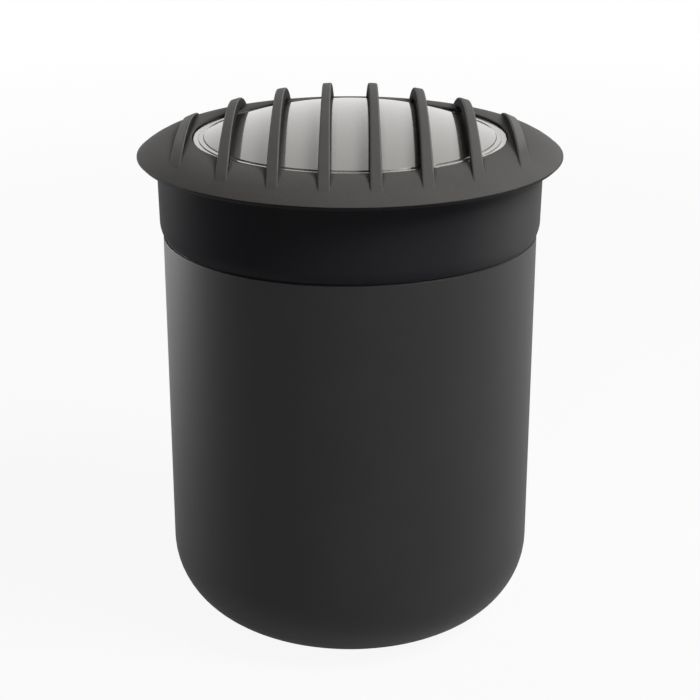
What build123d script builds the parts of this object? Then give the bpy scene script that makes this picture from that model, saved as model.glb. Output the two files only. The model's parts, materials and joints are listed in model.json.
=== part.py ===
from build123d import *

from math import cos, radians, sin, sqrt, tan
import os

# In-ground well light: a closed sleeve sunk in the soil, a collar snapped into its mouth, a domed
# lens on the collar's neck, and a cast rock guard that twists on over it with four helical lugs.
# Inside, a sealed-beam lamp in a gimbal ring tilts in a yoke that swivels on a plate.
# Millimetres. The origin is the middle of the base's underside, +Z is up and -Y is the front.

# ------------------------------------------------------------------------------- clearances
run_gap = 0.3          # between bodies that move past each other
fit_gap = 0.1          # round a piece that slides into another of its own body
pin_gap = 0.05         # round a pivot pin
thread_gap = 0.4       # round the cap's lugs and the collar's ramps

# ------------------------------------------------------------------------------- lamp
lamp_r = 57.15         # sealed-beam lamp of 4.5 inch face
lamp_rim_h = 6.5       # its pressed glass rim
lamp_glass = 2.8       # thickness of its glass
lamp_bowl_h = 49.0     # reflector below the rim
lamp_heel_r = 17.0     # flat back of the reflector
face_rise = 4.0        # crown of its front glass
capsule_r = 5.5
capsule_h = 24.0
terminal_spread = 9.5  # of each rear terminal from the axis
terminal_r = 4.2
terminal_h = 7.5

# ------------------------------------------------------------------------------- gimbal and yoke
gimbal_gap = 0.45      # between the lamp's rim and the ring
gimbal_wall = 2.0
gimbal_lip = 3.0       # ledge that carries the lamp's rim
gimbal_lip_t = 2.5
pivot_boss = 1.4       # how far the pivot boss stands out of the ring
pivot_boss_r = 6.0
pivot_washer_t = 0.9
pivot_washer_r = 5.0
pivot_r = 2.4          # shank of the pivot screw
pivot_head_r = 4.4
pivot_head_t = 2.5
pivot_grip = 3.4       # thread of the pivot screw in the ring
pivot_lift = 3.0       # pivot axis above the ledge's top
strap_t = 2.2          # sheet of the yoke
strap_w = 22.0
strap_bend = 4.5
yoke_drop = 86.0       # pivot axis above the yoke's base
ear_out = 4.6          # clip ear beyond the ring
ear_w = 10.0
clip_t = 1.2
clip_reach = 3.6       # clip over the lamp's rim
clip_angles = (90, 210, 330)
clip_screw_r = 1.5

# ------------------------------------------------------------------------------- swivel
plate_edge = 2.6       # plate's rim inside the collar's mouth
plate_t = 2.5
plate_bolt_ring = 52.0
plate_bolt_angles = (30, 150, 270)
wire_hole_r = 6.0
wire_hole_ring = 38.0
swivel_r = 3.0         # swivel bolt
swivel_head_r = 5.6
swivel_head_h = 4.0
swivel_washer_r = 14.0
swivel_washer_t = 3.0
wave_washer_r = 8.0
wave_washer_t = 1.0
lock_nut_h = 5.0
stop_pin_r = 2.0
stop_pin_ring = 22.0
stop_pin_h = 2.6
yoke_pad_r = 17.0
stop_tab_w = 8.0
plate_head_r = 3.6
plate_head_h = 2.5

# ------------------------------------------------------------------------------- collar and cap, across
mouth_gap = 1.4        # between the pivot screws and the collar's neck
neck_wall = 3.2
ramp_depth = 3.2       # of the helical ramps round the neck
skirt_wall = 2.5       # of the cap's skirt
moat_gap = 0.5         # between the skirt and the collar's outer wall
collar_wall = 2.5
collar_taper = 0.4     # radius that the collar loses on its way down
collar_step = 1.3      # collar over the sleeve
bead_out = 0.35        # bead round the collar's top
bead_h = 2.0
rim_overhang = 8.1     # cap's rim beyond the collar
opening_inset = 2.8    # guard's opening inside the collar's mouth
crown_band = 4.2       # flat crown round the guard's opening

# ------------------------------------------------------------------------------- sleeve, up and down
sleeve_h = 178.8
sleeve_wall = 3.5
floor_t = 4.0
base_round = 33.0      # rounded foot of the sleeve
web_t = 3.2            # collar's web on the sleeve's edge
skirt_clear = 3.0      # below the cap's skirt
skirt_len = 20.4
rim_edge = 1.6         # thickness of the cap's rim
rim_undercut = 1.2     # bevel under it
neck_down = 5.0        # neck's top below the cap's rim plane
pivot_down = 48.0      # lamp's pivot below the cap's rim plane
lip_overlap = 5.6      # collar's curled lip down over the sleeve
lip_seat = 0.7         # depth of the rebate that the lip sits in
curl_h = 6.0

# ------------------------------------------------------------------------------- snap joint of the collar
spigot_wall = 3.0
spigot_len = 21.8      # below the web
o_ring_d = 2.6
o_ring_down = 5.0      # middle of the seal below the web
finger_count = 8
finger_len = 12.0
finger_slot = 2.4
hook_out = 0.9
hook_h = 3.0
hook_up = 3.0          # hook above the spigot's end

# ------------------------------------------------------------------------------- rock guard
crown_rise = 7.3       # guard's crown above the rim plane
cap_pocket = 3.3       # ledge's underside above the rim plane
rib_count = 8
rib_pitch = 19.75
rib_peak = 25.0        # crest above the rim plane, in the middle
rib_turn = 10.0        # inside the rim, where the crests turn down
rib_turn_h = 0.86      # of the crests above the flange at that place
rib_end = 3.0          # inside the rim, where they end in the flange
rib_end_sunk = 1.1     # of their ends below the flange's surface
rib_crest_w = 3.8
rib_draft = 1.7        # degrees
rib_lens_gap = 1.2
rib_edge_r = 0.7
lip_edge_r = 0.8
rim_land = 3.0         # flat underside at the rim
gasket_land = 1.6      # flat underside beyond the collar
relief_h = 2.2         # hollow between them
slip_t = 2.1
slip_groove = 0.7
lug_count = 4
lug_sweep = 24.0       # degrees
lug_h = 3.0
lug_rise = 6.0         # of the lug's middle above the skirt's end
ramp_sweep = 40.0
ramp_h = 2.6
thread_lead = 40.0     # climb in one turn
stop_sweep = 6.0       # of the block that ends each ramp
bite = 0.3             # how far a lug or ramp is sunk in its wall

# ------------------------------------------------------------------------------- lens and seals
lens_rim_t = 3.2
lens_rise = 18.5       # lens's crown above the rim plane
lens_glass = 6.5       # thickness in the middle
lens_gap = 0.45        # between the lens and the guard's opening
lens_step_w = 2.1      # width of each ring at the lens's edge
lens_step_h = 0.35
lens_step_count = 2
lens_shoulder = 6.2    # outermost ring above the rim plane
seal_wall = 1.2        # lens gasket
seal_lap = 4.4         # gasket over the lens's rim
rim_seal_w = 1.2
rim_seal_depth = 1.1
collar_top_down = 2.5  # collar's top below the rim plane

# ------------------------------------------------------------------------------- base, gland and terminals
recess_r = 19.0
recess_h = 26.0
recess_wall = 3.5
channel_w = 14.0
channel_h = 14.0
post_r = 5.0
post_pilot_r = 1.5
post_pilot_h = 14.0
plate_screw_r = 1.9
gland_r = 8.0          # threaded stem
gland_bore_r = 4.6
gland_inside = 14.0    # stem above the recess's roof
gland_hex_r = 11.5
gland_hex_h = 4.0
gland_cup_r = 7.0
gland_cup_h = 6.0
gland_washer_t = 1.5
gland_nut_r = 10.6
gland_nut_h = 13.0
gland_nut_end = 2.5
gland_tail = 8.0       # sleeve of the body inside the nut
gland_tail_wall = 1.2
gland_seal_bore_r = 4.1
locknut_h = 5.0
block_x = 34.0         # terminal block's middle, from the axis
block_l = 36.0
block_w = 15.0
block_h = 13.0
block_ways = 2
block_pitch = 10.0
block_screw_r = 1.5
block_hole_y = 14.5

# ------------------------------------------------------------------------------- worked out: across
gimbal_in_r = lamp_r + gimbal_gap
gimbal_r = gimbal_in_r + gimbal_wall
boss_x = gimbal_r + pivot_boss
washer_x = boss_x + pivot_washer_t
arm_in_x = washer_x + run_gap
arm_x = arm_in_x + strap_t
head_x = arm_x + run_gap
mouth_r = head_x + pivot_head_t + mouth_gap
neck_r = mouth_r + neck_wall
ramp_r = neck_r + ramp_depth
skirt_in_r = ramp_r + thread_gap
skirt_r = skirt_in_r + skirt_wall
moat_r = skirt_r + moat_gap
collar_r = moat_r + collar_wall
collar_low_r = collar_r - collar_taper
sleeve_r = collar_low_r - collar_step
sleeve_in_r = sleeve_r - sleeve_wall
lip_r = sleeve_r - lip_seat
spigot_r = sleeve_in_r - 3 * fit_gap
spigot_in_r = spigot_r - spigot_wall
rim_r = collar_r + rim_overhang
opening_r = mouth_r - opening_inset
crown_r = opening_r + crown_band
rib_turn_r = rim_r - rib_turn
rib_end_r = rim_r - rib_end
seal_r = neck_r - 2 * run_gap
lens_r = seal_r - seal_wall
dome_r = opening_r - lens_gap - lens_step_w * lens_step_count
slip_r = skirt_in_r + slip_groove - thread_gap
slip_in_r = opening_r + 1.1
plate_r = mouth_r - plate_edge

# ------------------------------------------------------------------------------- worked out: up and down
web_top = sleeve_h + web_t
skirt_end = web_top + skirt_clear
rim_under = skirt_end + skirt_len
rim_z = rim_under + rim_edge
crown_z = rim_z + crown_rise
pocket_z = rim_z + cap_pocket
slip_top = pocket_z - run_gap
slip_low = slip_top - slip_t
neck_top = rim_z - neck_down
lens_low = neck_top + seal_wall
lens_rim_top = lens_low + lens_rim_t
collar_top = rim_z - collar_top_down
rim_seal_low = collar_top - rim_seal_depth
rim_seal_top = rim_under - run_gap
collar_end = sleeve_h - lip_overlap
spigot_end = sleeve_h - spigot_len
pivot_z = rim_z - pivot_down
ledge_z = pivot_z - pivot_lift
lamp_rim_top = ledge_z + lamp_rim_h
lamp_split = ledge_z + lamp_rim_h / 2
lamp_back = ledge_z - lamp_bowl_h
yoke_z = pivot_z - yoke_drop
plate_top = yoke_z - swivel_washer_t - run_gap
plate_z = plate_top - plate_t
yoke_top = yoke_z + strap_t
roof_z = recess_h + floor_t
gland_hex_top = recess_h - gland_washer_t
gland_hex_low = gland_hex_top - gland_hex_h
gland_nut_top = gland_hex_low - run_gap
gland_nut_low = gland_nut_top - gland_nut_h


def arc_height(radius, reach):
    """How far an arc of this radius falls from its flat top over a reach."""
    return radius - sqrt(radius**2 - reach**2)


flange_arc = ((rim_r - crown_r) ** 2 + crown_rise**2) / (2 * crown_rise)
rib_turn_z = crown_z - arc_height(flange_arc, rib_turn_r - crown_r) + rib_turn_h
rib_end_z = crown_z - arc_height(flange_arc, rib_end_r - crown_r) - rib_end_sunk
rib_under_z = rim_z + lens_rise + rib_lens_gap
dome_edge_z = rim_z + lens_shoulder + lens_step_h * lens_step_count
rib_foot_z = dome_edge_z + rib_lens_gap

os.makedirs("parts", exist_ok=True)


def save(part, name):
    """Label a piece and write its STEP file."""
    part.label = name
    export_step(part, f"parts/{name}.step")


def pan_screw(shank_r, length, head_r, head_h):
    """A pan-head screw whose head stands on z = 0, with a square drive socket."""
    with BuildPart() as screw:
        Cylinder(head_r, head_h, align=(Align.CENTER, Align.CENTER, Align.MIN))
        fillet(screw.edges().group_by(Axis.Z)[-1], head_h * 0.45)
        Cylinder(shank_r, length, align=(Align.CENTER, Align.CENTER, Align.MAX))
        with BuildSketch(Plane.XY.offset(head_h)):
            Rectangle(head_r * 0.6, head_r * 0.6)
        extrude(amount=-head_h * 0.55, mode=Mode.SUBTRACT)
    return screw.part


def ring_block(inner, outer, low, high):
    """A plain ring between two radii and two heights."""
    with BuildPart() as block:
        with BuildSketch(Plane.XY.offset(low)):
            Circle(outer)
            Circle(inner, mode=Mode.SUBTRACT)
        extrude(amount=high - low)
    return block.part


def helical_bar(inner, outer, middle_z, height, sweep_deg):
    """A bar along the cap's helix, centred on the +X side with its middle at middle_z."""
    climb = thread_lead * sweep_deg / 360
    mean_r = (inner + outer) / 2
    with BuildPart() as bar:
        with BuildLine() as path:
            Helix(thread_lead, climb, mean_r, center=(0, 0, middle_z - climb / 2))
        start = Plane(origin=path.line @ 0, x_dir=(1, 0, 0), z_dir=path.line % 0)
        with BuildSketch(start):
            Rectangle(outer - inner, height)
        sweep(path=path.line, is_frenet=True)
    return bar.part.rotate(Axis.Z, -sweep_deg / 2)


# =============================================================================== sleeve
inner_round = base_round - sleeve_wall
ridge_w = channel_w + 2 * recess_wall
ridge_h = channel_h + recess_wall
post_angles = [radians(angle) for angle in plate_bolt_angles]
post_spots = [(plate_bolt_ring * cos(angle), plate_bolt_ring * sin(angle)) for angle in post_angles]
block_spots = [(block_x, -block_hole_y), (block_x, block_hole_y)]
block_low = 2 * floor_t
hook_low = spigot_end + hook_up

with BuildPart() as hollow:
    # what is taken out of the sleeve: its inside, less the hub, the ridge, the posts and the bosses
    with BuildSketch(Plane.XZ):
        with BuildLine():
            Polyline((0, floor_t), (sleeve_in_r - inner_round, floor_t))
            CenterArc((sleeve_in_r - inner_round, floor_t + inner_round), inner_round, -90, 90)
            Polyline(
                (sleeve_in_r, floor_t + inner_round),
                (sleeve_in_r, hook_low - run_gap),
                (sleeve_in_r + hook_out, hook_low - run_gap),
                (sleeve_in_r + hook_out, hook_low + hook_h + run_gap),
                (sleeve_in_r, hook_low + hook_h + run_gap),
                (sleeve_in_r, sleeve_h),
                (0, sleeve_h),
                (0, floor_t),
            )
        make_face()
    revolve(axis=Axis.Z)
    with BuildSketch():
        Circle(recess_r + recess_wall)
    extrude(amount=roof_z, mode=Mode.SUBTRACT)
    with BuildSketch(Plane.XZ):
        Rectangle(ridge_w, 2 * ridge_h)
    extrude(amount=-sleeve_r, mode=Mode.SUBTRACT)
    with BuildSketch():
        with Locations(*post_spots):
            Circle(post_r)
    extrude(amount=plate_z, mode=Mode.SUBTRACT)
    with BuildSketch():
        with Locations(*block_spots):
            Circle(2.4 * block_screw_r)
    extrude(amount=block_low, mode=Mode.SUBTRACT)

with BuildPart() as sleeve:
    with BuildSketch(Plane.XZ):
        with BuildLine():
            Polyline((0, 0), (sleeve_r - base_round, 0))
            CenterArc((sleeve_r - base_round, base_round), base_round, -90, 90)
            Polyline(
                (sleeve_r, base_round),
                (sleeve_r, collar_end - run_gap),
                (lip_r, collar_end - run_gap),
                (lip_r, sleeve_h),
                (0, sleeve_h),
                (0, 0),
            )
        make_face()
    revolve(axis=Axis.Z)
    add(hollow.part, mode=Mode.SUBTRACT)
    with BuildSketch():
        Circle(recess_r)
    extrude(amount=recess_h, mode=Mode.SUBTRACT)
    with BuildSketch():
        Circle(gland_r + fit_gap)
    extrude(amount=roof_z, mode=Mode.SUBTRACT)
    # channel that lets the supply cable out under the back of the foot
    with BuildSketch(Plane.XZ) as channel_end:
        Rectangle(channel_w, 2 * channel_h)
        fillet(channel_end.vertices().group_by(Axis.Y)[-1], channel_w * 0.3)
    extrude(amount=-sleeve_r, mode=Mode.SUBTRACT)
    with BuildSketch(Plane.XY.offset(plate_z)):
        with Locations(*post_spots):
            Circle(post_pilot_r)
    extrude(amount=-post_pilot_h, mode=Mode.SUBTRACT)
    with BuildSketch(Plane.XY.offset(block_low)):
        with Locations(*block_spots):
            Circle(block_screw_r)
    extrude(amount=-floor_t, mode=Mode.SUBTRACT)
save(sleeve.part, "sleeve")

# =============================================================================== collar
ramp_mid = skirt_end + lug_rise + lug_h / 2 + run_gap + ramp_h / 2
ramp = helical_bar(neck_r - bite, ramp_r, ramp_mid, ramp_h, ramp_sweep)
stop_turn = (lug_sweep + stop_sweep) / 2 + 0.5
stop_mid = skirt_end + lug_rise - thread_lead * stop_turn / 360 + (run_gap + bite) / 2
stop_block = helical_bar(neck_r - bite, ramp_r, stop_mid, lug_h + run_gap + bite, stop_sweep)
with BuildPart() as collar:
    with BuildSketch(Plane.XZ) as collar_half:
        with BuildLine():
            Polyline(
                (collar_low_r, collar_end + curl_h),
                (collar_r, collar_top - bead_h),
                (collar_r + bead_out, collar_top - bead_h),
                (collar_r + bead_out, collar_top),
                (collar_r - (collar_wall - rim_seal_w) / 2, collar_top),
                (collar_r - (collar_wall - rim_seal_w) / 2, rim_seal_low),
                (collar_r - (collar_wall + rim_seal_w) / 2, rim_seal_low),
                (collar_r - (collar_wall + rim_seal_w) / 2, collar_top),
                (moat_r, collar_top),
                (moat_r, web_top),
                (neck_r, web_top),
                (neck_r, neck_top),
                (mouth_r, neck_top),
                (mouth_r, sleeve_h),
                (spigot_in_r, sleeve_h - (spigot_in_r - mouth_r)),
                (spigot_in_r, spigot_end),
                (spigot_r, spigot_end),
                (spigot_r, hook_low),
                (spigot_r + hook_out, hook_low + hook_h * 0.6),
                (spigot_r + hook_out, hook_low + hook_h),
                (spigot_r, hook_low + hook_h),
                (spigot_r, sleeve_h - o_ring_down - o_ring_d / 2),
                (sleeve_in_r - o_ring_d, sleeve_h - o_ring_down - o_ring_d / 2),
                (sleeve_in_r - o_ring_d, sleeve_h - o_ring_down + o_ring_d / 2),
                (spigot_r, sleeve_h - o_ring_down + o_ring_d / 2),
                (spigot_r, sleeve_h),
                (lip_r + fit_gap, sleeve_h),
                (lip_r + fit_gap, collar_end),
            )
            curl_start = (collar_low_r, collar_end + curl_h)
            TangentArc(curl_start, (lip_r + fit_gap, collar_end), tangent=(0, -1))
        make_face()
    revolve(axis=Axis.Z)
    with BuildSketch(Plane.XY.offset(spigot_end)):
        with PolarLocations(spigot_r, finger_count):
            Rectangle(4 * spigot_wall, finger_slot)
    extrude(amount=finger_len, mode=Mode.SUBTRACT)
    with PolarLocations(0, lug_count):
        add(ramp)
    with PolarLocations(0, lug_count, start_angle=-stop_turn):
        add(stop_block)
save(collar.part, "collar")

with BuildPart() as collar_seal:
    with BuildSketch(Plane.XZ):
        with Locations((sleeve_in_r - o_ring_d / 2, sleeve_h - o_ring_down)):
            Circle(o_ring_d / 2)
    revolve(axis=Axis.Z)
save(collar_seal.part, "collar_seal")

rim_seal_mid = collar_r - collar_wall / 2
rim_seal_half = rim_seal_w / 2 - pin_gap
rim_seal = ring_block(rim_seal_mid - rim_seal_half, rim_seal_mid + rim_seal_half, rim_seal_low, rim_seal_top)
save(rim_seal, "rim_seal")

# =============================================================================== lens and its gasket
with BuildPart() as lens:
    with BuildSketch(Plane.XZ) as lens_half:
        with BuildLine():
            TangentArc((0, rim_z + lens_rise), (dome_r, dome_edge_z), tangent=(1, 0))
            step_corners = [(dome_r, dome_edge_z)]
            for ring in range(1, lens_step_count + 1):
                ring_z = dome_edge_z - ring * lens_step_h
                step_corners.append((dome_r + (ring - 1) * lens_step_w, ring_z))
                step_corners.append((dome_r + ring * lens_step_w, ring_z))
            step_corners.append((step_corners[-1][0], lens_rim_top))
            step_corners.append((lens_r, lens_rim_top))
            step_corners.append((lens_r, lens_low))
            step_corners.append((dome_r - lens_step_w, lens_low))
            step_corners.append((dome_r - lens_step_w, lens_rim_top))
            Polyline(*step_corners)
            under_crown = (0, rim_z + lens_rise - lens_glass)
            TangentArc(under_crown, step_corners[-1], tangent=(1, 0))
            Line((0, rim_z + lens_rise), under_crown)
        make_face()
    revolve(axis=Axis.Z)
    rings = lens.edges().filter_by(GeomType.CIRCLE)
    dome_rim = rings.filter_by(lambda edge: abs(edge.radius - dome_r) < pin_gap)
    fillet(dome_rim.sort_by(Axis.Z)[-1], lens_step_h * 0.8)
save(lens.part, "lens")

with BuildPart() as lens_gasket:
    with BuildSketch(Plane.XZ):
        with Locations((seal_r, neck_top)):
            Rectangle(seal_lap, lens_rim_t + 2 * seal_wall, align=(Align.MAX, Align.MIN))
        with Locations((lens_r, lens_low)):
            Rectangle(2 * seal_lap, lens_rim_t, align=(Align.MAX, Align.MIN), mode=Mode.SUBTRACT)
    revolve(axis=Axis.Z)
save(lens_gasket.part, "lens_gasket")

# =============================================================================== twist-on rock guard
lug = helical_bar(neck_r + thread_gap, skirt_in_r + bite, skirt_end + lug_rise, lug_h, lug_sweep)
rib_spots = [((i - (rib_count - 1) / 2) * rib_pitch, pocket_z) for i in range(rib_count)]
rib_stand = rim_z + rib_peak - pocket_z
rib_foot_w = rib_crest_w + 2 * rib_stand * tan(radians(rib_draft))
with BuildPart() as rock_guard:
    # drafted bars across the opening, trimmed to the crest's arc above and clear of the lens below
    with BuildSketch(Plane.XZ):
        with Locations(*rib_spots):
            Trapezoid(rib_foot_w, rib_stand, 90 - rib_draft, align=(Align.CENTER, Align.MIN))
    extrude(amount=rim_r, both=True)
    with BuildSketch(Plane.XZ) as crest_half:
        with BuildLine():
            crest = TangentArc((0, rim_z + rib_peak), (rib_turn_r, rib_turn_z), tangent=(1, 0))
            TangentArc(crest @ 1, (rib_end_r, rib_end_z), tangent=crest % 1)
            Polyline(
                (rib_end_r, rib_end_z),
                (rib_end_r, rim_z),
                (opening_r + lip_edge_r, rim_z + cap_pocket),
                (opening_r + lip_edge_r, rib_foot_z),
            )
            TangentArc((0, rib_under_z), (opening_r + lip_edge_r, rib_foot_z), tangent=(1, 0))
            Line((0, rib_under_z), (0, rim_z + rib_peak))
        make_face()
    revolve(axis=Axis.Z, mode=Mode.INTERSECT)
    long_edges = rock_guard.edges().filter_by(lambda edge: edge.length > rib_pitch)
    fillet(long_edges.filter_by(lambda edge: edge.center().Z > crown_z + rib_edge_r), rib_edge_r)
    with BuildSketch(Plane.XZ) as flange_half:
        with BuildLine():
            TangentArc((crown_r, crown_z), (rim_r, rim_z), tangent=(1, 0))
            Polyline(
                (rim_r, rim_z),
                (rim_r, rim_under + rim_undercut),
                (rim_r - rim_undercut, rim_under),
                (rim_r - rim_land, rim_under),
                (rim_r - rim_land, rim_under + relief_h),
                (collar_r + gasket_land, rim_under + relief_h),
                (collar_r + gasket_land, rim_under),
                (skirt_r, rim_under),
                (skirt_r, skirt_end),
                (skirt_in_r, skirt_end),
                (skirt_in_r, slip_low - run_gap),
                (skirt_in_r + slip_groove, slip_low - run_gap),
                (skirt_in_r + slip_groove, pocket_z),
                (opening_r, pocket_z),
                (opening_r, crown_z - lip_edge_r),
            )
            CenterArc((opening_r + lip_edge_r, crown_z - lip_edge_r), lip_edge_r, 90, 90)
            Line((opening_r + lip_edge_r, crown_z), (crown_r, crown_z))
        make_face()
    revolve(axis=Axis.Z)
    with PolarLocations(0, lug_count):
        add(lug)
save(rock_guard.part, "rock_guard")

slip_ring = ring_block(slip_in_r, slip_r, slip_low, slip_top)
save(slip_ring, "slip_ring")

# =============================================================================== cable gland
gland_tail_r = gland_cup_r + gland_tail_wall
gland_cup_low = gland_hex_low - gland_tail
gland_top = roof_z + gland_inside
with BuildPart() as gland_body:
    with BuildSketch(Plane.XY.offset(gland_hex_low)):
        RegularPolygon(gland_hex_r, 6)
    extrude(amount=gland_hex_h)
    with BuildSketch(Plane.XY.offset(gland_hex_low)):
        Circle(gland_r)
    extrude(amount=gland_top - gland_hex_low)
    chamfer(gland_body.edges().group_by(Axis.Z)[-1], 0.8)
    with BuildSketch(Plane.XY.offset(gland_hex_low)):
        Circle(gland_tail_r)
    extrude(amount=-gland_tail)
    with BuildSketch(Plane.XY.offset(gland_cup_low)):
        Circle(gland_cup_r)
    extrude(amount=gland_cup_h, mode=Mode.SUBTRACT)
    with BuildSketch(Plane.XY.offset(gland_top)):
        Circle(gland_bore_r)
    extrude(amount=gland_cup_low - gland_top, mode=Mode.SUBTRACT)
save(gland_body.part, "gland_body")

gland_washer = ring_block(gland_r + fit_gap, gland_hex_r, gland_hex_top, recess_h)
save(gland_washer, "gland_washer")

nut_seat = gland_nut_low + gland_nut_end
gland_seal = ring_block(gland_seal_bore_r, gland_cup_r - pin_gap, nut_seat, gland_cup_low + gland_cup_h)
save(gland_seal, "gland_seal")

with BuildPart() as gland_nut:
    with BuildSketch(Plane.XY.offset(gland_nut_low)):
        RegularPolygon(gland_nut_r, 6)
    extrude(amount=gland_nut_h)
    chamfer(gland_nut.edges().group_by(Axis.Z)[0], gland_nut_end * 0.6)
    with BuildSketch(Plane.XY.offset(gland_nut_low)):
        Circle(gland_bore_r)
    extrude(amount=gland_nut_h, mode=Mode.SUBTRACT)
    with BuildSketch(Plane.XY.offset(gland_nut_top)):
        Circle(gland_tail_r + pin_gap)
    extrude(amount=nut_seat - gland_nut_top, mode=Mode.SUBTRACT)
save(gland_nut.part, "gland_nut")

with BuildPart() as gland_locknut:
    with BuildSketch(Plane.XY.offset(roof_z)):
        RegularPolygon(gland_hex_r, 6)
        Circle(gland_r + pin_gap, mode=Mode.SUBTRACT)
    extrude(amount=locknut_h)
save(gland_locknut.part, "gland_locknut")

# =============================================================================== terminal block
clamp_r = 2.6
clamp_z = block_low + block_h * 0.4
way_ys = [(i - (block_ways - 1) / 2) * block_pitch for i in range(block_ways)]
way_spots = [(y, clamp_z) for y in way_ys]
clamp_screw_spots = [(block_x + dx, y) for y in way_ys for dx in (-block_w / 4, block_w / 4)]
block_top = block_low + block_h
with BuildPart() as terminal_block:
    with BuildSketch(Plane.XY.offset(block_low)):
        with Locations((block_x, 0)):
            RectangleRounded(block_w, block_l, 2)
    extrude(amount=block_h)
    fillet(terminal_block.edges().group_by(Axis.Z)[-1], 0.8)
    # low ears for the fixing screws
    with BuildSketch(Plane.XY.offset(block_top)):
        with Locations(*block_spots):
            Rectangle(block_w, block_l - 2 * block_hole_y + 2 * block_screw_r)
    extrude(amount=-block_h * 0.6, mode=Mode.SUBTRACT)
    with BuildSketch(Plane.XY.offset(block_top)):
        with Locations(*block_spots):
            Circle(block_screw_r + fit_gap)
        with Locations(*clamp_screw_spots):
            Circle(clamp_r)
    extrude(amount=clamp_z - block_top, mode=Mode.SUBTRACT)
    with BuildSketch(Plane.XY.offset(block_top)):
        with Locations(*block_spots):
            Circle(block_screw_r + fit_gap)
    extrude(amount=-block_h, mode=Mode.SUBTRACT)
    with BuildSketch(Plane.YZ.offset(block_x - block_w / 2)):
        with Locations(*way_spots):
            Circle(clamp_r)
    extrude(amount=block_w, mode=Mode.SUBTRACT)
save(terminal_block.part, "terminal_block")

with BuildPart() as terminal_clamps:
    with BuildSketch(Plane.YZ.offset(block_x - block_w / 2 + 1)):
        with Locations(*way_spots):
            Circle(clamp_r)
            Circle(clamp_r * 0.6, mode=Mode.SUBTRACT)
    extrude(amount=block_w - 2)
    with BuildSketch(Plane.XY.offset(clamp_z + clamp_r)):
        with Locations(*clamp_screw_spots):
            Circle(clamp_r * 0.5)
    extrude(amount=-clamp_r, mode=Mode.SUBTRACT)
save(terminal_clamps.part, "terminal_clamps")

clamp_screw = pan_screw(clamp_r * 0.5, 0.6, clamp_r * 0.9, 2.0)
with BuildPart() as clamp_screws:
    with Locations(*[(x, y, clamp_z + clamp_r) for x, y in clamp_screw_spots]):
        add(clamp_screw)
save(clamp_screws.part, "clamp_screws")

block_screw = pan_screw(block_screw_r, block_h * 0.4 + floor_t * 0.8, 2 * block_screw_r, 2.0)
with BuildPart() as block_screws:
    with Locations(*[(x, y, block_low + block_h * 0.4) for x, y in block_spots]):
        add(block_screw)
save(block_screws.part, "block_screws")

# =============================================================================== swivel plate
with BuildPart() as swivel_plate:
    with BuildSketch(Plane.XY.offset(plate_z)):
        Circle(plate_r)
        Circle(swivel_r + pin_gap, mode=Mode.SUBTRACT)
        with Locations(*post_spots):
            Circle(plate_screw_r, mode=Mode.SUBTRACT)
        with PolarLocations(wire_hole_ring, 2, start_angle=60):
            Circle(wire_hole_r, mode=Mode.SUBTRACT)
        with Locations((0, stop_pin_ring)):
            Circle(stop_pin_r, mode=Mode.SUBTRACT)
    extrude(amount=plate_t)
save(swivel_plate.part, "swivel_plate")

plate_screw = pan_screw(post_pilot_r, post_pilot_h * 0.8 + plate_t, plate_head_r, plate_head_h)
with BuildPart() as plate_screws:
    with Locations(*[(x, y, plate_top) for x, y in post_spots]):
        add(plate_screw)
save(plate_screws.part, "plate_screws")

with BuildPart() as stop_pin:
    with BuildSketch(Plane.XY.offset(plate_z)):
        with Locations((0, stop_pin_ring)):
            Circle(stop_pin_r)
    extrude(amount=plate_t + stop_pin_h)
    fillet(stop_pin.edges().group_by(Axis.Z)[-1], stop_pin_r * 0.3)
save(stop_pin.part, "stop_pin")

nut_z = yoke_top + run_gap + wave_washer_t
with BuildPart() as swivel_bolt:
    with BuildSketch(Plane.XY.offset(plate_z)):
        RegularPolygon(swivel_head_r, 6)
    extrude(amount=-swivel_head_h)
    with BuildSketch(Plane.XY.offset(plate_z)):
        Circle(swivel_r)
    extrude(amount=nut_z + lock_nut_h + 1 - plate_z)
    chamfer(swivel_bolt.edges().group_by(Axis.Z)[-1], 0.6)
save(swivel_bolt.part, "swivel_bolt")

swivel_washer = ring_block(swivel_r + pin_gap, swivel_washer_r, plate_top, plate_top + swivel_washer_t)
save(swivel_washer, "swivel_washer")

with BuildPart() as wave_washer:
    with BuildSketch(Plane.XY.offset(yoke_top + run_gap)):
        Circle(wave_washer_r)
        Circle(swivel_r + fit_gap, mode=Mode.SUBTRACT)
    extrude(amount=wave_washer_t)
save(wave_washer.part, "wave_washer")

with BuildPart() as lock_nut:
    with BuildSketch(Plane.XY.offset(nut_z)):
        RegularPolygon(swivel_head_r, 6)
    extrude(amount=lock_nut_h)
    with BuildSketch(Plane.XY.offset(nut_z)):
        Circle(swivel_r + pin_gap)
    extrude(amount=lock_nut_h, mode=Mode.SUBTRACT)
save(lock_nut.part, "lock_nut")

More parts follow.
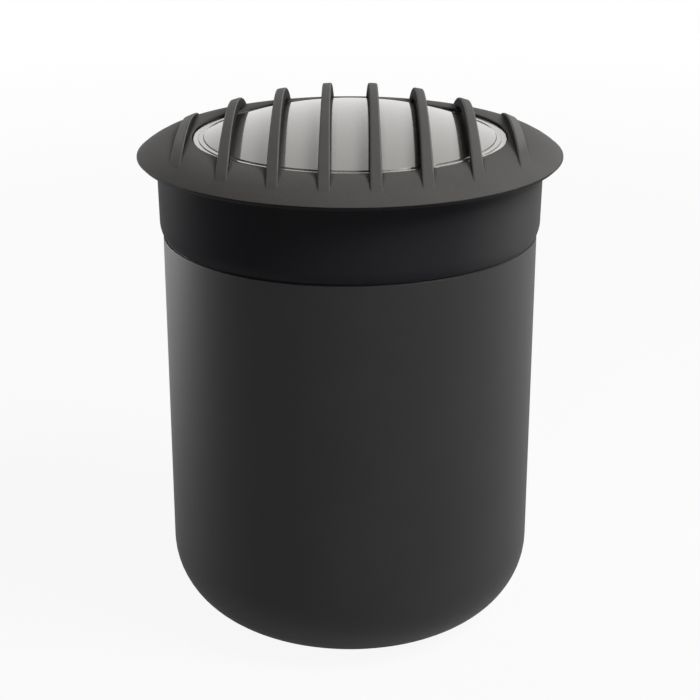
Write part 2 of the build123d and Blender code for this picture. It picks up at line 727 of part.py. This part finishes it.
# =============================================================================== yoke
eye_r = strap_w * 0.4
with BuildPart() as yoke:
    with BuildSketch(Plane.XZ) as strap:
        with Locations((0, yoke_z)):
            Rectangle(2 * arm_x, yoke_drop + eye_r, align=(Align.CENTER, Align.MIN))
        fillet(strap.vertices().group_by(Axis.Y)[0], strap_bend + strap_t)
    extrude(amount=strap_w, both=True)
    with BuildSketch(Plane.XZ) as strap_inside:
        with Locations((0, yoke_top)):
            Rectangle(2 * arm_in_x, yoke_drop + eye_r, align=(Align.CENTER, Align.MIN))
        fillet(strap_inside.vertices().group_by(Axis.Y)[0], strap_bend)
    extrude(amount=strap_w, both=True, mode=Mode.SUBTRACT)
    # arms narrow to a round eye at the pivot
    with BuildSketch(Plane.YZ):
        with BuildLine():
            Polyline(
                (-eye_r, pivot_z),
                (-strap_w / 2, yoke_z + strap_w),
                (-strap_w / 2, yoke_z),
                (strap_w / 2, yoke_z),
                (strap_w / 2, yoke_z + strap_w),
                (eye_r, pivot_z),
            )
            CenterArc((0, pivot_z), eye_r, 0, 180)
        make_face()
    extrude(amount=arm_x, both=True, mode=Mode.INTERSECT)
    with BuildSketch(Plane.XY.offset(yoke_z)):
        Circle(yoke_pad_r)
        with Locations((0, -yoke_pad_r * 0.8)):
            stop_tab_reach = stop_pin_ring + stop_pin_r - yoke_pad_r * 0.8
            Rectangle(stop_tab_w, stop_tab_reach, align=(Align.CENTER, Align.MAX))
    extrude(amount=strap_t)
    with BuildSketch(Plane.XY.offset(yoke_z)):
        with Locations((0, -stop_pin_ring)):
            Rectangle(stop_tab_w, 2 * stop_pin_r)
    extrude(amount=-stop_pin_h)
    with BuildSketch(Plane.XY.offset(yoke_z)):
        Circle(swivel_r + pin_gap)
    extrude(amount=strap_t, mode=Mode.SUBTRACT)
    with BuildSketch(Plane.YZ):
        with Locations((0, pivot_z)):
            Circle(pivot_r + pin_gap)
    extrude(amount=arm_x, both=True, mode=Mode.SUBTRACT)
save(yoke.part, "yoke")

# =============================================================================== gimbal ring
ring_low = ledge_z - gimbal_lip_t
ear_ring = gimbal_r + ear_out / 2
clip_spots = [(ear_ring * cos(radians(angle)), ear_ring * sin(radians(angle))) for angle in clip_angles]
with BuildPart() as gimbal_ring:
    with BuildSketch(Plane.XY.offset(ring_low)):
        Circle(gimbal_r)
    extrude(amount=lamp_rim_top - ring_low)
    with BuildSketch(Plane.YZ.offset(gimbal_in_r)):
        with Locations((0, pivot_z)):
            Circle(pivot_boss_r)
    extrude(amount=boss_x - gimbal_in_r)
    with BuildSketch(Plane.YZ.offset(-gimbal_in_r)):
        with Locations((0, pivot_z)):
            Circle(pivot_boss_r)
    extrude(amount=gimbal_in_r - boss_x)
    with BuildSketch(Plane.XY.offset(lamp_rim_top)):
        for angle in clip_angles:
            with PolarLocations(gimbal_r - gimbal_wall / 2, 1, start_angle=angle):
                Rectangle(ear_out + gimbal_wall / 2, ear_w, align=(Align.MIN, Align.CENTER))
    extrude(amount=ring_low - lamp_rim_top + gimbal_lip_t)
    with BuildSketch(Plane.XY.offset(ledge_z)):
        Circle(gimbal_in_r)
    extrude(amount=lamp_rim_h + pivot_boss_r, mode=Mode.SUBTRACT)
    with BuildSketch(Plane.XY.offset(ring_low)):
        Circle(lamp_r - gimbal_lip)
    extrude(amount=gimbal_lip_t, mode=Mode.SUBTRACT)
    with BuildSketch(Plane.XY.offset(lamp_rim_top)):
        with Locations(*clip_spots):
            Circle(clip_screw_r)
    extrude(amount=ledge_z - lamp_rim_top, mode=Mode.SUBTRACT)
    with BuildSketch(Plane.YZ):
        with Locations((0, pivot_z)):
            Circle(pivot_r)
    extrude(amount=boss_x, both=True, mode=Mode.SUBTRACT)
save(gimbal_ring.part, "gimbal_ring")

with BuildPart() as pivot_washers:
    for side in (-1, 1):
        with BuildSketch(Plane.YZ.offset(side * boss_x)):
            with Locations((0, pivot_z)):
                Circle(pivot_washer_r)
                Circle(pivot_r + pin_gap, mode=Mode.SUBTRACT)
        extrude(amount=side * pivot_washer_t)
save(pivot_washers.part, "pivot_washers")

with BuildPart() as pivot_screws:
    for side in (-1, 1):
        with BuildSketch(Plane.YZ.offset(side * (boss_x - pivot_grip))):
            with Locations((0, pivot_z)):
                Circle(pivot_r)
        extrude(amount=side * (head_x - boss_x + pivot_grip))
        with BuildSketch(Plane.YZ.offset(side * head_x)):
            with Locations((0, pivot_z)):
                Circle(pivot_head_r)
        extrude(amount=side * pivot_head_t)
        with BuildSketch(Plane.YZ.offset(side * (head_x + pivot_head_t))):
            with Locations((0, pivot_z)):
                RegularPolygon(pivot_head_r * 0.5, 6)
        extrude(amount=-side * pivot_head_t * 0.6, mode=Mode.SUBTRACT)
save(pivot_screws.part, "pivot_screws")

with BuildPart() as lamp_clips:
    clip_in_r = lamp_r - clip_reach
    with BuildSketch(Plane.XY.offset(lamp_rim_top)):
        for angle in clip_angles:
            with PolarLocations(clip_in_r, 1, start_angle=angle):
                Rectangle(gimbal_r + ear_out - clip_in_r, ear_w * 0.9, align=(Align.MIN, Align.CENTER))
        with Locations(*clip_spots):
            Circle(clip_screw_r + fit_gap, mode=Mode.SUBTRACT)
    extrude(amount=clip_t)
save(lamp_clips.part, "lamp_clips")

clip_screw = pan_screw(clip_screw_r, clip_t + lamp_rim_h * 0.7, 2 * clip_screw_r, 1.8)
with BuildPart() as clip_screws:
    with Locations(*[(x, y, lamp_rim_top + clip_t) for x, y in clip_spots]):
        add(clip_screw)
save(clip_screws.part, "clip_screws")

# =============================================================================== sealed-beam lamp
bowl_r = lamp_r - gimbal_lip - 1.0
bowl_knee = (bowl_r * 0.74, ledge_z - lamp_bowl_h * 0.56)
heel = (lamp_heel_r, lamp_back)
inner_heel = (lamp_heel_r - 1, lamp_back + lamp_glass)
with BuildPart() as lamp_reflector:
    with BuildSketch(Plane.XZ):
        with BuildLine():
            Polyline(heel, (0, lamp_back), (0, lamp_back + lamp_glass), inner_heel)
            ThreePointArc(
                inner_heel,
                (bowl_knee[0] - lamp_glass * 0.7, bowl_knee[1] + lamp_glass * 0.7),
                (bowl_r - lamp_glass, ledge_z),
            )
            Polyline(
                (bowl_r - lamp_glass, ledge_z),
                (bowl_r - lamp_glass, lamp_split),
                (lamp_r, lamp_split),
                (lamp_r, ledge_z),
                (bowl_r, ledge_z),
            )
            ThreePointArc((bowl_r, ledge_z), bowl_knee, heel)
        make_face()
    revolve(axis=Axis.Z)
save(lamp_reflector.part, "lamp_reflector")

with BuildPart() as lamp_face:
    with BuildSketch(Plane.XZ):
        with BuildLine():
            Polyline(
                (bowl_r - lamp_glass, lamp_rim_top),
                (lamp_r, lamp_rim_top),
                (lamp_r, lamp_split),
                (bowl_r - lamp_glass, lamp_split),
            )
            TangentArc((0, lamp_rim_top + face_rise), (bowl_r - lamp_glass, lamp_rim_top), tangent=(1, 0))
            TangentArc((0, lamp_split + face_rise), (bowl_r - lamp_glass, lamp_split), tangent=(1, 0))
            Line((0, lamp_split + face_rise), (0, lamp_rim_top + face_rise))
        make_face()
    revolve(axis=Axis.Z)
save(lamp_face.part, "lamp_face")

with BuildPart() as lamp_capsule:
    with BuildSketch(Plane.XY.offset(lamp_back + lamp_glass)):
        Circle(capsule_r)
    extrude(amount=capsule_h)
    fillet(lamp_capsule.edges().group_by(Axis.Z)[-1], capsule_r * 0.8)
save(lamp_capsule.part, "lamp_capsule")

with BuildPart() as lamp_terminals:
    with BuildSketch(Plane.XY.offset(lamp_back)):
        with Locations((-terminal_spread, 0), (terminal_spread, 0)):
            Circle(terminal_r)
    extrude(amount=-terminal_h * 0.5)
    with BuildSketch(Plane.XY.offset(lamp_back)):
        with Locations((-terminal_spread, 0), (terminal_spread, 0)):
            Circle(terminal_r * 0.55)
    extrude(amount=-terminal_h)
save(lamp_terminals.part, "lamp_terminals")
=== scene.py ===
import json
import math

import bpy
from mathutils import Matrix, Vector

# In-ground well light: the finishes of its parts, a plain studio and the camera.
# Metres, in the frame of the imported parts: +Z up, -Y the front, the origin under the foot.

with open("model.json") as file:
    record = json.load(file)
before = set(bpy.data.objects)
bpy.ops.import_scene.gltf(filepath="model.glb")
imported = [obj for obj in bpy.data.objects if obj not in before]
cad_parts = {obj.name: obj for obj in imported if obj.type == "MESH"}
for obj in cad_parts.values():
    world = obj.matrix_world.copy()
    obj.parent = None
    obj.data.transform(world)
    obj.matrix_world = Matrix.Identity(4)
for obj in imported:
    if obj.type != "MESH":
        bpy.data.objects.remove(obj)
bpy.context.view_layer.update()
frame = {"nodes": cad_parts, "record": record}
MM = 0.001
LENS_EDGE = 65.35 * MM     # outer radius of the lens's outermost ring
LENS_STEP = 2.1 * MM       # width of each turned step inside it
RIM_Z = 207.0 * MM         # plane of the guard's rim
CROWN_Z = 214.3 * MM       # top of the guard's flange


# ------------------------------------------------------------------------------- shader helpers
class Wire:
    """One output of a node. Arithmetic on it adds Math nodes to its tree."""

    def __init__(self, net, socket):
        self.net = net
        self.socket = socket

    def math(self, operation, first, second):
        return self.net.node("Math", {"operation": operation}, {0: first, 1: second})

    def __add__(self, other):
        return self.math("ADD", self, other)

    __radd__ = __add__

    def __sub__(self, other):
        return self.math("SUBTRACT", self, other)

    def __rsub__(self, other):
        return self.math("SUBTRACT", other, self)

    def __mul__(self, other):
        return self.math("MULTIPLY", self, other)

    __rmul__ = __mul__


class Net:
    """A tree of shader nodes, for a finish or for the world."""

    def __init__(self, tree):
        self.tree = tree

    def node(self, kind, settings=None, inputs=None, output=0):
        """Add a node: its settings first, then the values or wires of its inputs."""
        new = self.tree.nodes.new("ShaderNode" + kind)
        for name, value in (settings or {}).items():
            setattr(new, name, value)
        for name, value in (inputs or {}).items():
            if isinstance(value, Wire):
                self.tree.links.new(value.socket, new.inputs[name])
            else:
                new.inputs[name].default_value = value
        return Wire(self, new.outputs[output])

    def part(self, vector, index):
        """One coordinate of a vector: 0 is X, 1 is Y, 2 is Z."""
        return self.node("SeparateXYZ", {}, {"Vector": vector}, output=index)

    def slope(self, value, start, end):
        """Run straight from one output to another. Start and end are pairs of a value and its output."""
        spread = {"From Min": start[0], "To Min": start[1], "From Max": end[0], "To Max": end[1]}
        return self.node("MapRange", {}, {"Value": value, **spread})

    def step(self, value, low, high):
        """0 below low, 1 above high, smooth between them."""
        settings = {"interpolation_type": "SMOOTHSTEP"}
        return self.node("MapRange", settings, {"Value": value, "From Min": low, "From Max": high})


class Finish(Net):
    """A surface finish, built round one Principled shader on the object's own coordinates."""

    def __init__(self, name, constants):
        self.material = bpy.data.materials.new(name)
        self.material.use_nodes = True
        super().__init__(self.material.node_tree)
        self.shader = self.tree.nodes["Principled BSDF"]
        for socket, value in constants.items():
            self.shader.inputs[socket].default_value = value
        self.place = self.node("TexCoord", output="Object")

    def noise(self, size, detail=2.0, rough=0.5, stretch=(1, 1, 1)):
        """Noise whose blobs are about this many metres across, drawn out by stretch."""
        scale = tuple(1 / (size * factor) for factor in stretch)
        place = self.node("Mapping", {}, {"Vector": self.place, "Scale": scale})
        inputs = {"Vector": place, "Scale": 1.0, "Detail": detail, "Roughness": rough}
        return self.node("TexNoise", {}, inputs)

    def cells(self, size):
        """Distance to the nearest of scattered points about this far apart."""
        return self.node("TexVoronoi", {}, {"Vector": self.place, "Scale": 1 / size})

    def wave(self, value, period):
        """A sine from -1 to 1 with this period."""
        return self.node("Math", {"operation": "SINE"}, {0: value * (2 * math.pi / period)})

    def blend(self, mask, first, second):
        """The first colour where the mask is 0, the second where it is 1."""
        settings = {"data_type": "RGBA"}
        colours = [tone if isinstance(tone, Wire) else (*tone, 1) for tone in (first, second)]
        return self.node("Mix", settings, {0: mask, 6: colours[0], 7: colours[1]}, output=2)

    def axis(self, index):
        """One coordinate of the point: 0 is X, 1 is Y, 2 is Z."""
        return self.part(self.place, index)

    def radius(self):
        """Distance from the light's upright axis."""
        flat = self.node("VectorMath", {"operation": "MULTIPLY"}, {0: self.place, 1: (1, 1, 0)})
        return self.node("VectorMath", {"operation": "LENGTH"}, {0: flat}, output="Value")

    def facing(self, index):
        """How far the surface turns to one axis of the part, 0 to 1 either way."""
        along = self.part(self.node("TexCoord", output="Normal"), index)
        return self.node("Math", {"operation": "ABSOLUTE"}, {0: along})

    def soft_edge(self, radius):
        """The normal with edges rounded to this radius, and how sharp the edge is at the point."""
        round_normal = self.node("Bevel", {"samples": 6}, {"Radius": radius})
        plain_normal = self.node("NewGeometry", output="Normal")
        inputs = {0: round_normal, 1: plain_normal}
        likeness = self.node("VectorMath", {"operation": "DOT_PRODUCT"}, inputs, output="Value")
        return round_normal, self.step(1 - likeness, 0.004, 0.12)

    def crease(self, reach, alone=True):
        """1 deep in inner corners, 0 on open faces: of the piece alone, or of it and its neighbours. It
        marks where painted shade goes.
        """
        settings = {"only_local": alone, "samples": 8}
        openness = self.node("AmbientOcclusion", settings, {"Distance": reach}, output="AO")
        return self.step(1 - openness, 0.12, 0.45)

    def bump(self, height, depth, normal=None):
        """A normal from a height of 0 to 1 that stands for this many metres."""
        inputs = {"Height": height, "Distance": depth, "Strength": 1.0}
        if normal is not None:
            inputs["Normal"] = normal
        return self.node("Bump", {}, inputs)

    def drive(self, colour, roughness, normal):
        """Wire what varies over the surface to the shader, and hand over the material."""
        for name, wire in (("Base Color", colour), ("Roughness", roughness), ("Normal", normal)):
            self.tree.links.new(wire.socket, self.shader.inputs[name])
        return self.material


# ------------------------------------------------------------------------------- mouldings
def sleeve_moulding():
    """Dark satin moulding, a little dusty, with faint upright drag marks."""
    finish = Finish("sleeve_moulding", {"Specular IOR Level": 0.22})
    cloud = finish.noise(40 * MM, detail=3)
    drag = finish.noise(1.2 * MM, detail=2, stretch=(1, 1, 40))
    grain = finish.noise(0.35 * MM, detail=1)
    tone = finish.blend(finish.step(cloud, 0.35, 0.7), (0.034, 0.034, 0.034), (0.038, 0.0378, 0.0375))
    rounded, edge = finish.soft_edge(0.5 * MM)
    # painted highlight: the edges lighter
    tone = finish.blend(edge * 0.5, tone, (0.05, 0.05, 0.05))
    normal = finish.bump(drag * 0.4 + grain * 0.6, 0.012 * MM, rounded)
    return finish.drive(colour=tone, roughness=0.42 + cloud * 0.08 + drag * 0.05, normal=normal)


def collar_moulding():
    """Near-black moulding with a blue cast, a painted sheen on its right and painted shade along its
    edges.
    """
    finish = Finish("collar_moulding", {"Specular IOR Level": 0.01})
    cloud = finish.noise(30 * MM, detail=3)
    grain = finish.noise(0.4 * MM, detail=1)
    tone = finish.blend(cloud, (0.0270, 0.0265, 0.0300), (0.0310, 0.0305, 0.0340))
    # painted sheen: the right side of the collar lighter, as where a lamp on the right reflects in it
    right_sheen = finish.step(finish.axis(0), 35 * MM, 85 * MM)
    tone = finish.blend(right_sheen * (0.40 + cloud * 0.3), tone, (0.13, 0.127, 0.122))
    rounded, edge = finish.soft_edge(0.4 * MM)
    # painted shade: the edges darker
    tone = finish.blend(edge * 0.3, tone, (0.02, 0.02, 0.022))
    normal = finish.bump(grain, 0.008 * MM, rounded)
    return finish.drive(colour=tone, roughness=0.45 + cloud * 0.08, normal=normal)


def textured_coat():
    """Fine-textured charcoal powder coat, with painted shade on the ribs' flanks, in the inner corners and
    under the rim, and paler edges that are partly worn and partly a painted highlight.
    """
    finish = Finish("textured_coat", {"Specular IOR Level": 0.12})
    cloud = finish.noise(25 * MM, detail=3)
    sand = finish.noise(0.55 * MM, detail=3, rough=0.65)
    speck = finish.cells(0.7 * MM)
    tone = finish.blend(finish.step(cloud, 0.3, 0.7), (0.086, 0.083, 0.079), (0.096, 0.0925, 0.088))
    tone = finish.blend(finish.step(sand, 0.42, 0.62) * 0.30, tone, (0.13, 0.126, 0.12))
    # painted shade: the ribs' flanks dark above the flange, with pale flecks
    sideways = finish.facing(0)
    height = finish.axis(2)
    shaded_flank = finish.step(sideways, 0.86, 0.95) * finish.step(height, RIM_Z + 0.4 * MM, RIM_Z + 1.2 * MM)
    fleck = finish.step(sand, 0.56, 0.70) * finish.step(height, CROWN_Z, CROWN_Z + 12 * MM)
    tone = finish.blend(shaded_flank, tone, finish.blend(fleck, (0.012, 0.0115, 0.011), (0.14, 0.135, 0.13)))
    # paler fillets along the crests: wear, and a painted highlight
    crest_wear_and_highlight = finish.step(sideways, 0.25, 0.45) - finish.step(sideways, 0.70, 0.86)
    crest_wear_and_highlight = crest_wear_and_highlight * finish.step(height, CROWN_Z, CROWN_Z + 3 * MM)
    tone = finish.blend(crest_wear_and_highlight * 0.7, tone, (0.20, 0.196, 0.19))
    # painted shade in the inner corners, and painted shade making the underside below the rim dark
    tone = finish.blend(finish.crease(2.5 * MM) * 0.85, tone, (0.015, 0.0145, 0.014))
    topside = finish.step(height, RIM_Z - 0.1 * MM, RIM_Z + 0.2 * MM)
    tone = finish.blend(topside, (0.012, 0.012, 0.013), tone)
    rounded, edge = finish.soft_edge(0.7 * MM)
    wear_and_highlight_patches = finish.noise(6 * MM, detail=3)
    # paler patches on the edges: wear, and a painted highlight
    tone = finish.blend(edge * finish.step(wear_and_highlight_patches, 0.5, 0.7) * 0.2, tone, (0.21, 0.205, 0.195))
    normal = finish.bump(sand + speck * 0.5, 0.07 * MM, rounded)
    return finish.drive(colour=tone, roughness=0.60 + sand * 0.15, normal=normal)


def silicone():
    """Moulded silicone rubber with a matt bloom."""
    finish = Finish("silicone", {"Specular IOR Level": 0.35})
    bloom = finish.noise(4 * MM, detail=3)
    grain = finish.noise(0.2 * MM)
    tone = finish.blend(bloom, (0.010, 0.010, 0.010), (0.018, 0.018, 0.018))
    return finish.drive(colour=tone, roughness=0.55 + bloom * 0.2, normal=finish.bump(grain, 0.01 * MM))


def natural_nylon():
    """Milky natural nylon with a satin skin."""
    constants = {"Subsurface Weight": 0.15, "Subsurface Radius": (2 * MM, 2 * MM, 1.5 * MM)}
    finish = Finish("natural_nylon", constants)
    cloud = finish.noise(12 * MM, detail=3)
    grain = finish.noise(0.3 * MM)
    tone = finish.blend(cloud, (0.60, 0.57, 0.49), (0.67, 0.65, 0.57))
    return finish.drive(colour=tone, roughness=0.38 + grain * 0.12, normal=finish.bump(grain, 0.01 * MM))


def block_moulding():
    """Pale polyamide of the terminal block."""
    finish = Finish("block_moulding", {"Specular IOR Level": 0.45})
    cloud = finish.noise(8 * MM, detail=2)
    grain = finish.noise(0.25 * MM)
    rounded, edge = finish.soft_edge(0.3 * MM)
    tone = finish.blend(cloud, (0.62, 0.59, 0.52), (0.72, 0.70, 0.63))
    # painted highlight: the edges paler
    tone = finish.blend(edge * 0.4, tone, (0.82, 0.80, 0.76))
    normal = finish.bump(grain, 0.015 * MM, rounded)
    return finish.drive(colour=tone, roughness=0.42 + grain * 0.1, normal=normal)


def black_nylon():
    """Black nylon of the cable gland, fine-sparked on its flats."""
    finish = Finish("black_nylon", {"Specular IOR Level": 0.4})
    spark = finish.noise(0.3 * MM, detail=3)
    rounded, edge = finish.soft_edge(0.4 * MM)
    # painted highlight: the edges lighter than the flats
    tone = finish.blend(edge * 0.6, (0.014, 0.014, 0.015), (0.05, 0.05, 0.052))
    normal = finish.bump(spark, 0.03 * MM, rounded)
    return finish.drive(colour=tone, roughness=0.45 + spark * 0.15, normal=normal)


def red_fibre():
    """Vulcanised fibre washers, dull red with fine strands."""
    finish = Finish("red_fibre", {"Specular IOR Level": 0.3})
    strand = finish.noise(0.4 * MM, detail=4, stretch=(6, 1, 1))
    tone = finish.blend(strand, (0.13, 0.030, 0.018), (0.24, 0.065, 0.036))
    return finish.drive(colour=tone, roughness=0.6 + strand * 0.15, normal=finish.bump(strand, 0.02 * MM))


# ------------------------------------------------------------------------------- metals
def metal(name, tones, rough, grain, stretch, depth):
    """A bare metal with stains, a painted highlight on its edges, and a grain of this size, stretch and
    depth.
    """
    finish = Finish(name, {"Metallic": 1.0})
    scratch = finish.noise(grain, detail=3, rough=0.6, stretch=stretch)
    stain = finish.noise(9 * MM, detail=3)
    rounded, edge = finish.soft_edge(0.3 * MM)
    tone = finish.blend(stain, *tones)
    # painted highlight: the edges brighter
    tone = finish.blend(edge * 0.3, tone, (0.85, 0.85, 0.83))
    normal = finish.bump(scratch, depth, rounded)
    return finish.drive(colour=tone, roughness=rough + scratch * 0.14 + stain * 0.08, normal=normal)


def zinc_plate():
    """Zinc on the pressed steel, with its rolling marks."""
    tones = (0.44, 0.45, 0.44), (0.60, 0.60, 0.57)
    return metal("zinc_plate", tones, rough=0.24, grain=0.5 * MM, stretch=(1, 20, 1), depth=0.006 * MM)


def mill_aluminium():
    """Rolled aluminium sheet as it leaves the mill."""
    tones = (0.60, 0.61, 0.62), (0.72, 0.73, 0.74)
    return metal("mill_aluminium", tones, rough=0.30, grain=0.3 * MM, stretch=(60, 1, 1), depth=0.008 * MM)


def cast_aluminium():
    """Die-cast aluminium with an even grey skin."""
    tones = (0.36, 0.37, 0.38), (0.47, 0.48, 0.49)
    return metal("cast_aluminium", tones, rough=0.42, grain=0.5 * MM, stretch=(1, 1, 1), depth=0.05 * MM)


def stainless():
    """Stainless steel of the screws and bolts."""
    tones = (0.52, 0.52, 0.51), (0.64, 0.64, 0.62)
    return metal("stainless", tones, rough=0.18, grain=0.25 * MM, stretch=(1, 1, 8), depth=0.004 * MM)


def turned_brass():
    """Brass of the contacts, with turning marks."""
    tones = (0.52, 0.35, 0.11), (0.70, 0.50, 0.20)
    return metal("turned_brass", tones, rough=0.22, grain=0.25 * MM, stretch=(8, 8, 1), depth=0.005 * MM)


# ------------------------------------------------------------------------------- glass
def frosted_glass():
    """Etched glass of the domed lens: a pale grey body under a polished skin, with its turned rings, a
    painted glint on its outermost ring and edges, and painted shade at its steps and along the ribs.
    """
    constants = {
        "Coat Weight": 1.0,
        "Coat Roughness": 0.05,
        "Coat Tint": (1, 0.98, 0.955, 1),
        "Specular IOR Level": 0.5,
        "Specular Tint": (1, 0.97, 0.93, 1),
    }
    finish = Finish("frosted_glass", constants)
    etch = finish.noise(0.35 * MM, detail=3, rough=0.6)
    cloud = finish.noise(22 * MM, detail=3)
    tone = finish.blend(cloud, (0.200, 0.196, 0.189), (0.225, 0.221, 0.213))
    # painted shade on the lens along the ribs and under them
    tone = finish.blend(finish.crease(4.5 * MM, alone=False) * 0.85, tone, (0.022, 0.021, 0.020))
    # a painted glint on the outermost ring, and painted shade as a dark line at each step
    reach = finish.radius()
    glint_land = finish.step(reach, LENS_EDGE - LENS_STEP, LENS_EDGE - LENS_STEP + 0.2 * MM)
    tone = finish.blend(glint_land, tone, (0.34, 0.335, 0.325))
    # painted shade along each step
    for line in (LENS_EDGE - LENS_STEP, LENS_EDGE - 2 * LENS_STEP):
        inside = finish.step(reach, line - 0.35 * MM, line - 0.1 * MM)
        outside = finish.step(reach, line, line + 0.2 * MM)
        tone = finish.blend((inside - outside) * 0.6, tone, (0.05, 0.049, 0.047))
    rounded, edge = finish.soft_edge(0.35 * MM)
    # painted glint: the edges pale cream
    tone = finish.blend(edge * 0.6, tone, (0.80, 0.79, 0.76))
    normal = finish.bump(etch, 0.002 * MM, rounded)
    return finish.drive(colour=tone, roughness=0.10 + etch * 0.06 + cloud * 0.06, normal=normal)


def pressed_glass():
    """Clear glass of the sealed-beam lamp's face, fluted one way and barred the other."""
    constants = {"Transmission Weight": 0.75, "IOR": 1.47, "Coat Weight": 0.5, "Coat Roughness": 0.05}
    finish = Finish("pressed_glass", constants)
    flutes = finish.wave(finish.axis(0), 4.5 * MM)
    bars = finish.wave(finish.axis(1), 13 * MM)
    cloud = finish.noise(15 * MM)
    tone = finish.blend(cloud, (0.80, 0.84, 0.83), (0.88, 0.91, 0.90))
    normal = finish.bump(flutes * 0.4 + bars * 0.15 + 0.5, 0.3 * MM)
    return finish.drive(colour=tone, roughness=0.05 + cloud * 0.06, normal=normal)


def clear_quartz():
    """Clear quartz of the halogen capsule."""
    finish = Finish("clear_quartz", {"Transmission Weight": 0.9, "IOR": 1.46})
    ripple = finish.noise(3 * MM)
    tone = finish.blend(ripple, (0.90, 0.90, 0.88), (0.95, 0.95, 0.94))
    return finish.drive(colour=tone, roughness=0.02 + ripple * 0.04, normal=finish.bump(ripple, 0.05 * MM))


def aluminised_mirror():
    """Vapour-deposited aluminium on the reflector's glass."""
    finish = Finish("aluminised_mirror", {"Metallic": 1.0, "Coat Weight": 0.3, "Coat Roughness": 0.05})
    haze = finish.noise(14 * MM, detail=3)
    ripple = finish.noise(5 * MM)
    tone = finish.blend(haze, (0.80, 0.81, 0.82), (0.90, 0.90, 0.90))
    return finish.drive(colour=tone, roughness=0.05 + haze * 0.10, normal=finish.bump(ripple, 0.04 * MM))


# ------------------------------------------------------------------------------- finishes on the parts
finishes = {
    "sleeve_plastic": sleeve_moulding(),
    "collar_plastic": collar_moulding(),
    "guard_coat": textured_coat(),
    "lens_glass": frosted_glass(),
    "seal_rubber": silicone(),
    "slip_nylon": natural_nylon(),
    "sheet_steel": zinc_plate(),
    "plate_aluminium": mill_aluminium(),
    "ring_aluminium": cast_aluminium(),
    "screw_steel": stainless(),
    "lamp_glass": pressed_glass(),
    "lamp_mirror": aluminised_mirror(),
    "capsule_glass": clear_quartz(),
    "contact_brass": turned_brass(),
    "block_plastic": block_moulding(),
    "gland_nylon": black_nylon(),
    "fibre": red_fibre(),
}

for part in frame["record"]["subparts"]:
    for material_slot in frame["nodes"][part["node"]].material_slots:
        material_slot.material = finishes[part["material_slot"]]


# ------------------------------------------------------------------------------- studio
FLOOR_SIZE = 14.0
FLOOR_WHITE = 0.92         # how much of the floor the camera sees as plain white, near the part
FRONT_GLOW = 0.12          # the world's strength in front of the part, where 1 is white
BACK_GLOW = 0.90           # and behind it
LIGHT_SHARE = 0.13         # share of that strength for light
GLOSS_SHARE = (1.0, 1.75)  # and for reflections, at the horizon and overhead


def floor_finish():
    """A pale floor that the camera sees as white, and far reflections too, with a soft shadow."""
    constants = {"Base Color": (0.75, 0.75, 0.75, 1), "Roughness": 0.9, "Specular IOR Level": 0.1}
    finish = Finish("floor_paper", constants)
    camera_ray = finish.node("LightPath", output="Is Camera Ray")
    glossy_ray = finish.node("LightPath", output="Is Glossy Ray")
    reach = finish.radius()
    seen = camera_ray * (finish.step(reach, 0.4, 1.5) * (1 - FLOOR_WHITE) + FLOOR_WHITE)
    seen = seen + glossy_ray * (finish.step(reach, 0.15, 0.5) * 0.6 + 0.25)
    glow = finish.node("Emission", {}, {"Color": (1, 1, 1, 1), "Strength": 1.0}, output="Emission")
    lit = Wire(finish, finish.shader.outputs["BSDF"])
    mixed = finish.node("MixShader", {}, {0: seen, 1: lit, 2: glow}, output="Shader")
    finish.tree.links.new(mixed.socket, finish.tree.nodes["Material Output"].inputs["Surface"])
    return finish.material


def make_floor():
    bpy.ops.object.select_all(action="DESELECT")
    bpy.ops.mesh.primitive_plane_add(size=FLOOR_SIZE, location=(0, 0, 0))
    floor = bpy.context.object
    floor.name = "floor"
    floor.data.materials.append(floor_finish())


def make_world():
    """White for the camera. For light and reflections, bright behind the part and dim in front."""
    world = bpy.data.worlds.new("studio")
    bpy.context.scene.world = world
    world.use_nodes = True
    net = Net(world.node_tree)
    way = net.node("TexCoord", output="Generated")
    camera_ray = net.node("LightPath", output="Is Camera Ray")
    glossy_ray = net.node("LightPath", output="Is Glossy Ray")
    around = net.slope(net.part(way, 1), (-0.3, FRONT_GLOW), (0.6, BACK_GLOW))
    gloss = net.slope(net.part(way, 2), (0.0, GLOSS_SHARE[0]), (1.0, GLOSS_SHARE[1]))
    share = net.slope(glossy_ray, (0.0, LIGHT_SHARE), (1.0, gloss))
    level = net.node("Mix", {}, {"Factor": camera_ray, "A": around * share, "B": 1.0})
    background = world.node_tree.nodes["Background"]
    background.inputs["Color"].default_value = (1, 1, 1, 1)
    world.node_tree.links.new(level.socket, background.inputs["Strength"])


def light_box(name, place, size, power, aim=(0, 0, 0.12)):
    """A rectangular soft box that faces a point on the part."""
    data = bpy.data.lights.new(name, "AREA")
    data.shape = "RECTANGLE"
    data.size, data.size_y = size
    data.energy = power
    box = bpy.data.objects.new(name, data)
    box.location = place
    box.rotation_euler = (Vector(aim) - Vector(place)).to_track_quat("-Z", "Y").to_euler()
    bpy.context.scene.collection.objects.link(box)


def make_camera():
    """The photograph's viewpoint: in front, and a little above."""
    data = bpy.data.cameras.new("camera")
    data.lens = 87.74
    data.sensor_width = 36.0
    camera = bpy.data.objects.new("camera", data)
    camera.location = (0, -0.700, 0.3797)
    camera.rotation_euler = (math.radians(69.46), 0, 0)
    bpy.context.scene.collection.objects.link(camera)
    bpy.context.scene.camera = camera


make_floor()
make_world()
light_box("top_box", (0.70, -0.40, 1.05), (0.6, 0.6), 12.2)
light_box("left_box", (-1.05, 0.65, 0.02), (0.5, 0.35), 15.0)
light_box("right_box", (1.05, 0.45, 0.20), (0.6, 0.8), 4.5)
make_camera()
bpy.context.scene.view_settings.view_transform = "Standard"
